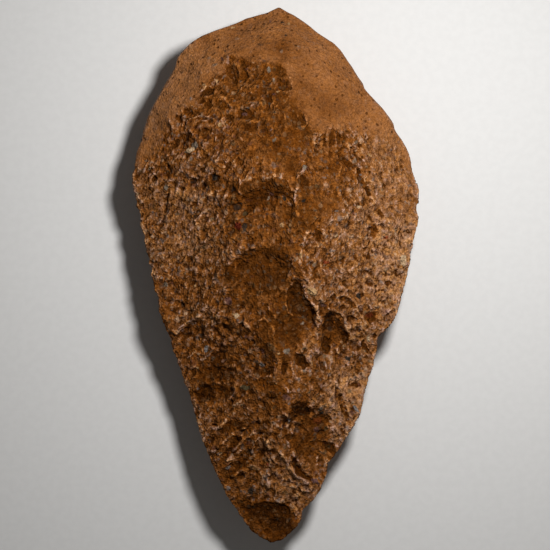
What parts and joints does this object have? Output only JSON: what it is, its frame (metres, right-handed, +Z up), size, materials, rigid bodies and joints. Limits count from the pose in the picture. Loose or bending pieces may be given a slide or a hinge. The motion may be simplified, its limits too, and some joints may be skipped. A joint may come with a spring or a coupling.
{
  "type": "stone hand axe",
  "caption": "Pear-shaped stone hand axe, flaked on both faces, with a smooth weathered butt and a stepped ridge down to a blunt point.",
  "frame": {"origin": "on the ground the axe lies on, under the middle of its outline seen from above", "axes": "+Y along the axe from the point to the butt, +X across it, +Z up out of the more deeply stepped face"},
  "size_m": [0.0966, 0.18, 0.0443],
  "materials": {
    "stone": "iron-stained coarse sandstone, matt and granular on the flaked faces, smoother and faintly glossy on the weathered butt"
  },
  "bodies": {
    "root": {"hand_axe": "stone"}
  },
  "joints": []
}
